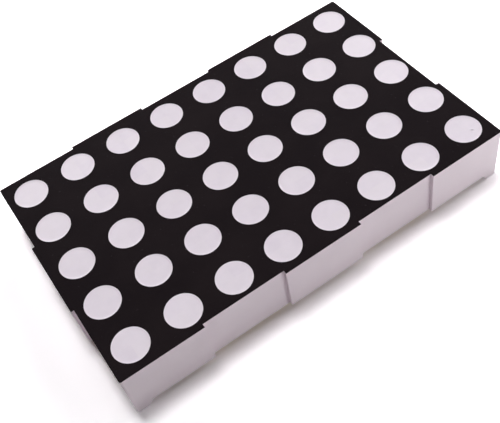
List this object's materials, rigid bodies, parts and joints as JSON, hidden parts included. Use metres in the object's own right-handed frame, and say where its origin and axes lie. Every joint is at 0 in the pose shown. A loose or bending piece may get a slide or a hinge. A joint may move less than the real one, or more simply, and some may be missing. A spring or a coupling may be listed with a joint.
{
  "type": "led dot matrix",
  "caption": "Flat rectangular display module: a grid of round white dots flush in a black face, white keyed sides that tile edge to edge, and two rows of pins under it.",
  "frame": {"origin": "centre of the dot grid and of the pin pattern, on the plane of the four feet", "axes": "+X along the long side, +Y towards the long side with the two tongues, +Z out of the face"},
  "size_m": [0.0609, 0.0382, 0.0124],
  "materials": {
    "housing_white": "satin moulded white plastic",
    "print_black": "matt black screen print",
    "dot_resin": "milky diffusing epoxy, level with the face",
    "board_laminate": "bare glass-epoxy laminate with copper under solder mask",
    "seal_resin": "clear, slightly yellow casting resin",
    "chip": "satin",
    "gold_wire": "bright",
    "tinned_pin": "tinned"
  },
  "bodies": {
    "root": {"housing": "housing_white", "face_print": "print_black", "circuit_board": "board_laminate", "back_seal": "seal_resin", "led_chips": "chip", "bond_wires": "gold_wire", "dot_r1c1": "dot_resin", "dot_r1c2": "dot_resin", "dot_r1c3": "dot_resin", "dot_r1c4": "dot_resin", "dot_r1c5": "dot_resin", "dot_r1c6": "dot_resin", "dot_r1c7": "dot_resin", "dot_r1c8": "dot_resin", "dot_r2c1": "dot_resin", "dot_r2c2": "dot_resin", "dot_r2c3": "dot_resin", "dot_r2c4": "dot_resin", "dot_r2c5": "dot_resin", "dot_r2c6": "dot_resin", "dot_r2c7": "dot_resin", "dot_r2c8": "dot_resin", "dot_r3c1": "dot_resin", "dot_r3c2": "dot_resin", "dot_r3c3": "dot_resin", "dot_r3c4": "dot_resin", "dot_r3c5": "dot_resin", "dot_r3c6": "dot_resin", "dot_r3c7": "dot_resin", "dot_r3c8": "dot_resin", "dot_r4c1": "dot_resin", "dot_r4c2": "dot_resin", "dot_r4c3": "dot_resin", "dot_r4c4": "dot_resin", "dot_r4c5": "dot_resin", "dot_r4c6": "dot_resin", "dot_r4c7": "dot_resin", "dot_r4c8": "dot_resin", "dot_r5c1": "dot_resin", "dot_r5c2": "dot_resin", "dot_r5c3": "dot_resin", "dot_r5c4": "dot_resin", "dot_r5c5": "dot_resin", "dot_r5c6": "dot_resin", "dot_r5c7": "dot_resin", "dot_r5c8": "dot_resin", "pin_01": "tinned_pin", "pin_02": "tinned_pin", "pin_03": "tinned_pin", "pin_04": "tinned_pin", "pin_05": "tinned_pin", "pin_06": "tinned_pin", "pin_07": "tinned_pin", "pin_08": "tinned_pin", "pin_09": "tinned_pin", "pin_10": "tinned_pin", "pin_11": "tinned_pin", "pin_12": "tinned_pin", "pin_13": "tinned_pin", "pin_14": "tinned_pin"}
  },
  "joints": []
}
